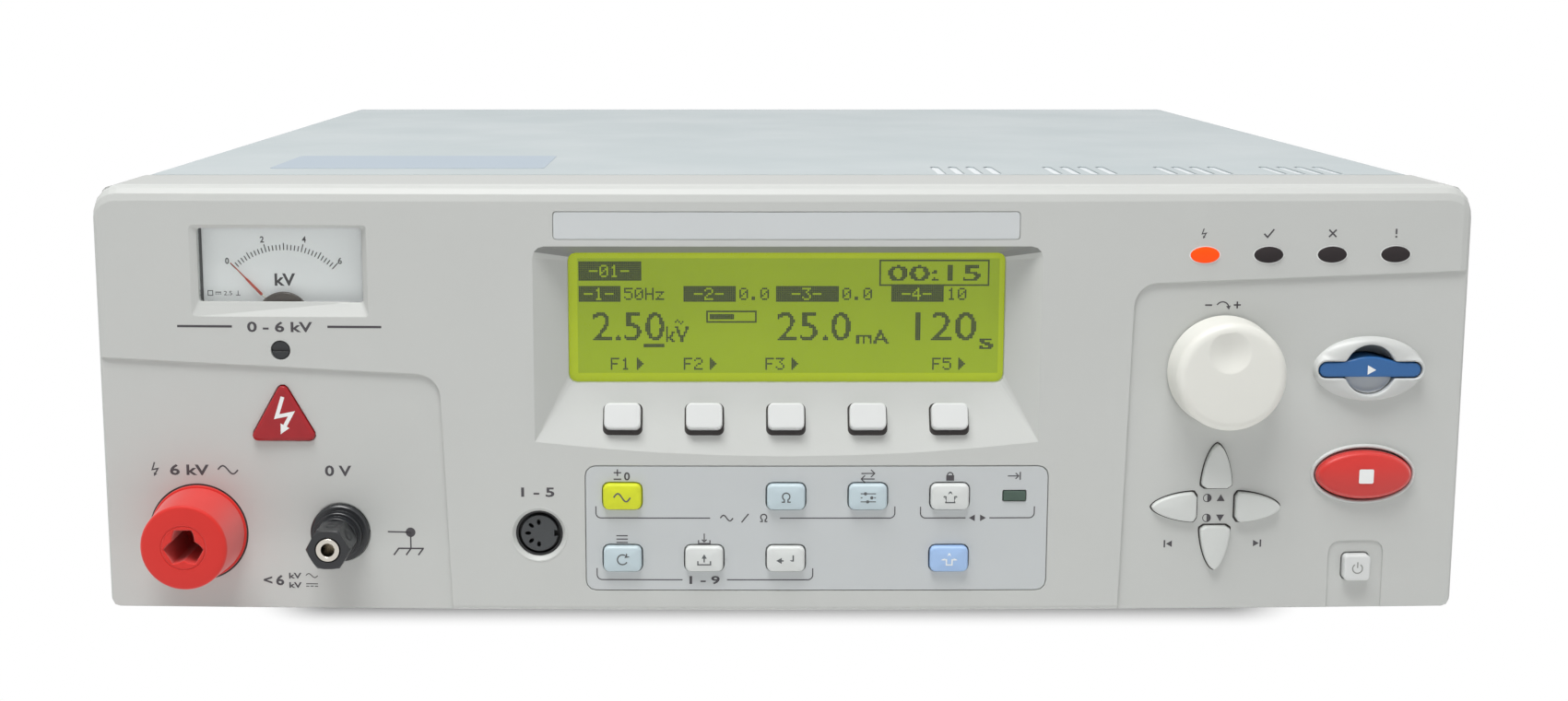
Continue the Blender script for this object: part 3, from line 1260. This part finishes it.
def make_remote_socket():
    place = on_front(REMOTE_X, REMOTE_Z)
    outer = REMOTE_RADIUS - SEAT_GAP
    body = [
        (0, REMOTE_INSERT_SINK), (REMOTE_INSERT_RADIUS, REMOTE_INSERT_SINK),
        (REMOTE_INSERT_RADIUS, REMOTE_CAVITY), (REMOTE_SHELL_RADIUS - REMOTE_LIP, REMOTE_CAVITY),
        (REMOTE_SHELL_RADIUS - REMOTE_LIP, REMOTE_LIP_SINK), (REMOTE_SHELL_RADIUS, REMOTE_LIP),
        (outer, SEAT_GAP), (outer, REMOTE_BODY), (0, REMOTE_BODY),
    ]
    socket = turned("remote_socket", body, "black", place, 24)
    rows = []
    pin = ellipse(REMOTE_PIN_RADIUS, REMOTE_PIN_RADIUS, count=6)
    for k in range(5):
        angle = math.radians(90 + 45 * k)
        shift = Matrix.Translation((REMOTE_PIN_CIRCLE * math.cos(angle), 0,
                                    REMOTE_PIN_CIRCLE * math.sin(angle)))
        rows.append((pin, -REACH, REMOTE_CAVITY, shift))
    boolean(socket, cutter("pin_holes", prisms("pin_holes", rows), place))


# Knob, start lever and stop button

def make_knob():
    place = on_field(KNOB_X, KNOB_Z)
    back = -KNOB_LIFT
    front = back - KNOB_HEIGHT
    bore = SHAFT_RADIUS + SHAFT_GAP
    bore_end = back - SHAFT_LENGTH - SEAT_GAP
    profile = [(0, front)]
    for k in range(4):
        angle = math.pi / 2 * k / 3
        radius = KNOB_FACE_RADIUS - KNOB_EDGE * (1 - math.sin(angle))
        profile.append((radius, front + KNOB_EDGE * (1 - math.cos(angle))))
    profile += [(KNOB_BASE_RADIUS, back), (bore, back), (bore, bore_end), (0, bore_end)]
    knob = turned("entry_knob", profile, "knob", place, 36)
    sphere = (KNOB_DIMPLE_RADIUS ** 2 + KNOB_DIMPLE_DEPTH ** 2) / (2 * KNOB_DIMPLE_DEPTH)
    bm = bmesh.new()
    bmesh.ops.create_uvsphere(bm, u_segments=20, v_segments=28, radius=sphere,
                              matrix=Matrix.Rotation(math.pi / 2, 4, "X"))
    dimple = cutter("dimple", to_mesh(bm, "dimple"),
                    place + Vector((KNOB_DIMPLE_X, front - sphere + KNOB_DIMPLE_DEPTH, KNOB_DIMPLE_Z)))
    boolean(knob, dimple)

    board = BOARD_Y - place.y - SEAT_GAP
    box_front = board - ENCODER_DEPTH
    profile = [
        (0, back - SHAFT_LENGTH), (SHAFT_RADIUS, back - SHAFT_LENGTH), (SHAFT_RADIUS, 0),
        (BUSH_RADIUS, 0), (BUSH_RADIUS, box_front + SEAT_GAP), (0, box_front + SEAT_GAP),
    ]
    encoder = turned("encoder", profile, "steel", place, 24)
    half = ENCODER_SIZE / 2
    housing = box("encoder_housing", (-half, box_front, -half), (half, board, half))
    boolean(encoder, cutter("encoder_housing", housing, place), "UNION")


def start_opening():
    return bulged_slot(START_SLOT_HALF_WIDTH, START_SLOT_HALF_HEIGHT, START_BULGE, START_BULGE,
                       START_BULGE_WIDTH)


def guard(name, place, half_width, half_height, proud, opening, edge):
    """An oval ring that stands proud of the front and runs back through the wall."""
    inner = (half_width - GUARD_LEDGE, half_height - GUARD_LEDGE)
    mesh = prism(name, ellipse(half_width, half_height), -proud, -SEAT_GAP)
    ring = finished(name, mesh, "white_plastic", place)
    bevel(ring, edge, 2, 60)
    sleeve = prism(f"{name}_sleeve", ellipse(*inner, count=20), -SEAT_GAP * 2, GUARD_DEPTH)
    boolean(ring, cutter(f"{name}_sleeve", sleeve, place), "UNION")
    hole = prism(f"{name}_opening", opening, -REACH, REACH)
    return boolean(ring, cutter(f"{name}_opening", hole, place))


def make_start():
    place = on_bed(START_X, START_Z, START_HALF_WIDTH)
    guard("start_guard", place, START_HALF_WIDTH, START_HALF_HEIGHT, START_PROUD, start_opening(),
          START_PROUD * 0.85)
    lever = bulged_slot(START_LEVER_HALF_WIDTH, START_LEVER_HALF_HEIGHT, START_LEVER_BUMP, 0.0,
                        START_BULGE_WIDTH)
    front = -START_PROUD + START_LEVER_SINK
    back = BOARD_Y - place.y - SEAT_GAP - START_TRAVEL
    obj = finished("start_lever", prism("start_lever", lever, front, back), "blue", place)
    bevel(obj, 0.0005, 1, 60)


def make_stop():
    place = on_bed(STOP_X, STOP_Z, STOP_HALF_WIDTH)
    half_width, half_height = STOP_BUTTON_HALF_WIDTH, STOP_BUTTON_HALF_HEIGHT
    opening = ellipse(half_width + KEY_GAP, half_height + KEY_GAP)
    guard("stop_guard", place, STOP_HALF_WIDTH, STOP_HALF_HEIGHT, STOP_RING_PROUD, opening, 0.0009)
    back = BOARD_Y - place.y - SEAT_GAP - STOP_TRAVEL
    mesh = prism("stop_button", ellipse(half_width, half_height), -STOP_PROUD, back)
    button = finished("stop_button", mesh, "red", place)
    bevel(button, STOP_PROUD * 0.62, 3, 60)


# Case

def make_cover():
    """A sheet folded over the top and both sides."""
    half = COLLAR_HALF_WIDTH
    high = BEZEL_Z + COLLAR_TOP
    section = []
    for inset, step in ((0, 1), (COVER_SHEET, -1)):
        side, top = half - inset, high - inset
        corners = ((-side, CHASSIS_Z), (-side, top), (side, top), (side, CHASSIS_Z))
        fold = COVER_FOLD_RADIUS - inset
        section += rounded(corners, (0, fold, fold, 0), 4)[::step]
    mesh = prism("top_cover", section, FACE_Y + COLLAR_BACK + COVER_JOINT, FACE_Y + COVER_BACK)
    cover = finished("top_cover", mesh, "cover")
    rows = []
    slot = rounded_rectangle(VENT_SLOT_WIDTH, VENT_BACK - VENT_FRONT, VENT_END_RADIUS, segments=1)
    lay_flat = Matrix.Rotation(-math.pi / 2, 4, "X")
    middle = FACE_Y + (VENT_FRONT + VENT_BACK) / 2
    for share in VENT_SHARES:
        for k in range(VENT_SLOTS):
            x = share * BEZEL_WIDTH + VENT_PITCH * (k - (VENT_SLOTS - 1) / 2)
            rows.append((slot, -REACH / 4, REACH / 4, Matrix.Translation((x, middle, high)) @ lay_flat))
    tall = rounded_rectangle(VENT_SLOT_WIDTH, SIDE_VENT_TOP - SIDE_VENT_BOTTOM, VENT_END_RADIUS,
                             segments=1)
    turn = Matrix.Rotation(math.pi / 2, 4, "Z")
    level = BEZEL_Z + (SIDE_VENT_TOP + SIDE_VENT_BOTTOM) / 2
    for side in (-half, half):
        for k in range(SIDE_VENT_COUNT):
            place = (side, FACE_Y + SIDE_VENT_START + SIDE_VENT_PITCH * k, level)
            rows.append((tall, -REACH / 4, REACH / 4, Matrix.Translation(place) @ turn))
    boolean(cover, cutter("vents", prisms("vents", rows)))


def make_chassis():
    half = LIP_HALF_WIDTH
    front = FACE_Y + LIP_BACK + SEAT_GAP
    back = FACE_Y + COVER_BACK - CHASSIS_END_GAP
    base = box("bottom_chassis", (-half, front, CHASSIS_Z), (half, back, CHASSIS_Z + CHASSIS_FLANGE))
    tray = finished("bottom_chassis", base, "chassis")
    inner = half - CHASSIS_SHEET
    room = box("tray_room", (-inner, front - REACH, CHASSIS_Z + CHASSIS_SHEET),
               (inner, back + REACH, CHASSIS_Z + CHASSIS_FLANGE + REACH))
    boolean(tray, cutter("tray_room", room))


def make_rear_panel():
    half = LIP_HALF_WIDTH - CHASSIS_SHEET - SEAT_GAP
    low = CHASSIS_Z + CHASSIS_SHEET + SEAT_GAP
    high = BEZEL_Z + LIP_TOP
    panel = finished("rear_panel", box("rear_panel", (-half, PANEL_Y, low),
                                       (half, PANEL_Y + REAR_PANEL_SHEET, high)), "cover")
    rows = []
    reach = FAN_BORE_RADIUS - GRILLE_SLOT_HEIGHT / 2
    for k in range(GRILLE_SLOTS):
        level = GRILLE_PITCH * (k - (GRILLE_SLOTS - 1) / 2)
        width = 2 * math.sqrt(reach ** 2 - level ** 2)
        outline = rounded_rectangle(width, GRILLE_SLOT_HEIGHT, GRILLE_END_RADIUS, FAN_X,
                                    BEZEL_Z + FAN_Z + level, 2)
        rows.append((outline, PANEL_Y - REACH, PANEL_Y + REACH, Matrix()))
    grow = 2 * (INLET_WALL + SEAT_GAP)
    outline = rounded_rectangle(INLET_CAVITY_WIDTH + grow, INLET_CAVITY_HEIGHT + grow,
                                INLET_CORNER_RADIUS, INLET_X, BEZEL_Z + INLET_Z)
    rows.append((outline, PANEL_Y - REACH, PANEL_Y + REACH, Matrix()))
    grow = 2 * SEAT_GAP
    outline = rounded_rectangle(CONNECTOR_SHELL_WIDTH + grow, CONNECTOR_SHELL_HEIGHT + grow,
                                CONNECTOR_RADIUS, CONNECTOR_X, BEZEL_Z + CONNECTOR_Z)
    rows.append((outline, PANEL_Y - REACH, PANEL_Y + REACH, Matrix()))
    boolean(panel, cutter("rear_holes", prisms("rear_holes", rows)))


def make_fan():
    back = PANEL_Y - SEAT_GAP
    centre = Vector((FAN_X, back - FAN_DEPTH / 2, BEZEL_Z + FAN_Z))
    half = FAN_DEPTH / 2
    outline = rounded_rectangle(FAN_SIZE, FAN_SIZE, FAN_CORNER_RADIUS)
    frame = finished("fan_frame", prism("fan_frame", outline, -half, half), "black", centre)
    bore = prism("fan_bore", ellipse(FAN_BORE_RADIUS, FAN_BORE_RADIUS, count=32), -REACH, REACH)
    boolean(frame, cutter("fan_bore", bore, centre))
    strut_front = half - FAN_STRUT_DEPTH
    reach = FAN_BORE_RADIUS + 2 * SEAT_GAP
    for name, turn in (("strut_up", 45), ("strut_down", -45)):
        bar = box(name, (-reach, strut_front, -FAN_STRUT_WIDTH / 2),
                  (reach, half - SEAT_GAP, FAN_STRUT_WIDTH / 2))
        helper = cutter(name, bar, centre)
        helper.rotation_euler = (0, math.radians(turn), 0)
        boolean(frame, helper, "UNION")
    mount = prism("motor_mount", ellipse(FAN_HUB_RADIUS, FAN_HUB_RADIUS, count=16), strut_front,
                  half - SEAT_GAP)
    boolean(frame, cutter("motor_mount", mount, centre), "UNION")

    rotor_back = strut_front - SEAT_GAP
    rotor_front = -half + FAN_FRONT_GAP
    hub = prism("fan_rotor", ellipse(FAN_HUB_RADIUS, FAN_HUB_RADIUS, count=16), rotor_front, rotor_back)
    rotor = finished("fan_rotor", hub, "black", centre)
    pitch = Matrix.Rotation(FAN_BLADE_PITCH, 4, "X")
    chord, thick = FAN_BLADE_CHORD / 2, FAN_BLADE_THICKNESS / 2
    for k in range(FAN_BLADES):
        blade = box(f"blade_{k}", (FAN_HUB_RADIUS * 0.8, -chord, -thick), (FAN_BLADE_RADIUS, chord, thick))
        helper = cutter(f"blade_{k}", blade)
        spin = Matrix.Rotation(math.tau * k / FAN_BLADES, 4, "Y")
        helper.matrix_world = Matrix.Translation(centre) @ spin @ pitch
        boolean(rotor, helper, "UNION")


def make_inlet():
    seat = PANEL_Y + REAR_PANEL_SHEET + SEAT_GAP
    centre = Vector((INLET_X, seat, BEZEL_Z + INLET_Z))
    outline = rounded_rectangle(INLET_FLANGE_WIDTH, INLET_FLANGE_HEIGHT, 0.003)
    inlet = finished("ac_inlet", prism("ac_inlet", outline, 0, INLET_FLANGE_THICKNESS), "black", centre)
    floor = INLET_FLANGE_THICKNESS - INLET_CAVITY_DEPTH
    half_width, half_height = INLET_CAVITY_WIDTH / 2, INLET_CAVITY_HEIGHT / 2
    shell = rounded_rectangle(2 * (half_width + INLET_WALL), 2 * (half_height + INLET_WALL),
                              INLET_CORNER_RADIUS)
    shell_mesh = prism("inlet_shell", shell, floor - INLET_BACK, INLET_FLANGE_THICKNESS / 2)
    boolean(inlet, cutter("inlet_shell", shell_mesh, centre), "UNION")
    corners = ((-half_width, -half_height), (half_width, -half_height), (half_width, half_height),
               (-half_width, half_height))
    small, large = INLET_CORNER_RADIUS / 2, INLET_CORNER_RADIUS * 2.5
    cavity = prism("inlet_cavity", rounded(corners, (small, small, large, large), 2), floor, REACH)
    boolean(inlet, cutter("inlet_cavity", cavity, centre))
    rows = []
    for x, z in INLET_PIN_PLACES:
        blade = rounded_rectangle(INLET_PIN_WIDTH, INLET_PIN_HEIGHT, SEAT_GAP, x, z, 1)
        rows.append((blade, floor - INLET_BACK / 4, floor + INLET_PIN_LENGTH, Matrix()))
    boolean(inlet, cutter("inlet_pins", prisms("inlet_pins", rows), centre), "UNION")


def make_connector():
    seat = PANEL_Y + REAR_PANEL_SHEET + SEAT_GAP
    centre = Vector((CONNECTOR_X, seat, BEZEL_Z + CONNECTOR_Z))
    outline = rounded_rectangle(CONNECTOR_WIDTH, CONNECTOR_HEIGHT, CONNECTOR_RADIUS)
    plate = prism("interface_connector", outline, 0, CONNECTOR_PLATE)
    plug = finished("interface_connector", plate, "steel", centre)
    width, height = CONNECTOR_SHELL_WIDTH, CONNECTOR_SHELL_HEIGHT
    shell = rounded_rectangle(width, height, CONNECTOR_RADIUS)
    shell_mesh = prism("shell", shell, -CONNECTOR_DEPTH, CONNECTOR_PROUD)
    boolean(plug, cutter("shell", shell_mesh, centre), "UNION")
    thin = 2 * CONNECTOR_WALL
    room = rounded_rectangle(width - thin, height - thin, CONNECTOR_RADIUS - CONNECTOR_WALL)
    room_mesh = prism("shell_room", room, -CONNECTOR_ROOM_DEPTH, REACH)
    boolean(plug, cutter("shell_room", room_mesh, centre))
    bar = rounded_rectangle(CONNECTOR_BAR_WIDTH, CONNECTOR_BAR_HEIGHT, SEAT_GAP, segments=1)
    bar_mesh = prism("bar", bar, -CONNECTOR_ROOM_DEPTH - SEAT_GAP, CONNECTOR_BAR_PROUD)
    boolean(plug, cutter("bar", bar_mesh, centre), "UNION")


def make_front_board():
    low = (FRONT_BOARD_LEFT, BOARD_Y, BEZEL_Z + FRONT_BOARD_BOTTOM)
    high = (FRONT_BOARD_RIGHT, BOARD_Y + BOARD_THICKNESS, BEZEL_Z + FRONT_BOARD_TOP)
    finished("front_board", box("front_board", low, high), "board")


def comb_outline():
    """The heat sink's section: a flat base with upright fins."""
    width = (HEAT_SINK_FINS - 1) * FIN_PITCH + FIN_THICKNESS
    outline = []
    for k in range(HEAT_SINK_FINS):
        left = FIN_PITCH * k
        right = left + FIN_THICKNESS
        outline += [(left, HEAT_SINK_BASE), (left, HEAT_SINK_HEIGHT), (right, HEAT_SINK_HEIGHT),
                    (right, HEAT_SINK_BASE)]
    return [(width, 0), (0, 0), *outline[1:-1]]


def make_main_board():
    """The main board with its stand-offs, capacitors and heat sink."""
    seat = CHASSIS_Z + CHASSIS_SHEET + SEAT_GAP
    low = seat + MAIN_BOARD_HEIGHT
    high = low + BOARD_THICKNESS
    front = FACE_Y + MAIN_BOARD_SETBACK
    back = front + MAIN_BOARD_LENGTH
    left, right = MAIN_BOARD_X - MAIN_BOARD_WIDTH / 2, MAIN_BOARD_X + MAIN_BOARD_WIDTH / 2
    board = finished("main_board", box("main_board", (left, front, low), (right, back, high)), "board")
    lay_flat = Matrix.Rotation(-math.pi / 2, 4, "X")
    round_post = ellipse(STANDOFF_RADIUS, STANDOFF_RADIUS, count=10)
    rows = []
    for x in (left + STANDOFF_INSET, right - STANDOFF_INSET):
        for y in (front + STANDOFF_INSET, back - STANDOFF_INSET):
            place = Matrix.Translation((x, y, seat)) @ lay_flat
            rows.append((round_post, 0, -MAIN_BOARD_HEIGHT - BOARD_THICKNESS / 2, place))
    can = ellipse(CAPACITOR_RADIUS, CAPACITOR_RADIUS, count=16)
    for k in range(3):
        spot = (CAPACITOR_X, front + MAIN_BOARD_LENGTH / 2 + CAPACITOR_PITCH * (k - 1),
                high - BOARD_THICKNESS / 2)
        rows.append((can, 0, -CAPACITOR_HEIGHT, Matrix.Translation(spot) @ lay_flat))
    sink_front = front + (MAIN_BOARD_LENGTH - HEAT_SINK_LENGTH) / 2
    place = Matrix.Translation((HEAT_SINK_X, 0, high - BOARD_THICKNESS / 2))
    rows.append((comb_outline(), sink_front, sink_front + HEAT_SINK_LENGTH, place))
    boolean(board, cutter("board_parts", prisms("board_parts", rows)), "UNION")


def make_transformer():
    base = CHASSIS_Z + CHASSIS_SHEET + SEAT_GAP
    centre_y = FACE_Y + COVER_BACK / 2
    half_x, half_y = TRANSFORMER_WIDTH / 2, TRANSFORMER_LENGTH / 2
    core = box("hv_transformer", (TRANSFORMER_X - half_x, centre_y - half_y, base),
               (TRANSFORMER_X + half_x, centre_y + half_y, base + TRANSFORMER_HEIGHT))
    block = finished("hv_transformer", core, "core")
    bevel(block, 0.001, 1)
    half = TRANSFORMER_COIL_LENGTH / 2
    outline = rounded_rectangle(TRANSFORMER_COIL_WIDTH, TRANSFORMER_COIL_HEIGHT, TRANSFORMER_COIL_RADIUS)
    place = (TRANSFORMER_X, centre_y, base + TRANSFORMER_HEIGHT / 2)
    coil = cutter("coil", prism("coil", outline, -half, half), place)
    boolean(block, coil, "UNION")


# Feet

def make_foot(name, x, setback, hinged):
    place = Vector((x, FACE_Y + setback, 0))
    outline = rounded_rectangle(FOOT_WIDTH, FOOT_HEIGHT, 0.0015, 0, FOOT_HEIGHT / 2, 1)
    foot = finished(name, prism(name, outline, 0, FOOT_LENGTH), "rubber", place)
    if not hinged:
        return
    half = LEG_WIDTH / 2 + SEAT_GAP
    roof = LEG_PIVOT_HEIGHT + LEG_BARREL_RADIUS + SEAT_GAP
    slot = box(f"{name}_slot", (-half, -REACH, -REACH), (half, FOOT_LENGTH + REACH, roof))
    boolean(foot, cutter(f"{name}_slot", slot, place))
    radius = LEG_PIN_RADIUS + SEAT_GAP
    reach = half + LEG_PIN_REACH + SEAT_GAP
    hole = ellipse(radius, radius, count=8)
    turn = Matrix.Rotation(-math.pi / 2, 4, "Z")
    spot = Matrix.Translation((0, LEG_BARREL_RADIUS * 2, LEG_PIVOT_HEIGHT)) @ turn
    holes = prisms(f"{name}_pins", [(hole, -reach, reach, spot)])
    boolean(foot, cutter(f"{name}_pins", holes, place))


def make_leg(name, x):
    """A flat leg that lies under the case and swings down about its pins."""
    pivot = Vector((x, FACE_Y + FOOT_FRONT_SETBACK + LEG_BARREL_RADIUS * 2, LEG_PIVOT_HEIGHT))
    half = LEG_WIDTH / 2
    thin = LEG_THICKNESS / 2
    leg = finished(name, box(name, (-half, 0, -thin), (half, LEG_LENGTH, thin)), "rubber", pivot)
    turn = Matrix.Rotation(-math.pi / 2, 4, "Z")
    barrel = ellipse(LEG_BARREL_RADIUS, LEG_BARREL_RADIUS, count=12)
    mesh = prisms(f"{name}_barrel", [(barrel, -half, half, turn)])
    boolean(leg, cutter(f"{name}_barrel", mesh, pivot), "UNION")
    reach = half + LEG_PIN_REACH
    pin = ellipse(LEG_PIN_RADIUS, LEG_PIN_RADIUS, count=8)
    mesh = prisms(f"{name}_pin", [(pin, -reach, reach, turn)])
    boolean(leg, cutter(f"{name}_pin", mesh, pivot), "UNION")


def main():
    make_front_bezel()
    make_window()
    make_display()
    make_film()
    make_soft_keys()
    make_function_keys()
    make_arrow_keys()
    make_power_button()
    make_lamps()
    make_needle(make_meter())
    make_zero_adjuster()
    make_hv_terminal()
    make_low_terminal()
    make_remote_socket()
    make_knob()
    make_start()
    make_stop()
    make_cover()
    make_chassis()
    make_rear_panel()
    make_fan()
    make_inlet()
    make_connector()
    make_front_board()
    make_main_board()
    make_transformer()
    for side, sign in (("left", -1), ("right", 1)):
        make_foot(f"foot_front_{side}", sign * FOOT_X, FOOT_FRONT_SETBACK, True)
        make_foot(f"foot_rear_{side}", sign * FOOT_X, FOOT_REAR_SETBACK, False)
        make_leg(f"tilt_leg_{side}", sign * FOOT_X)


main()
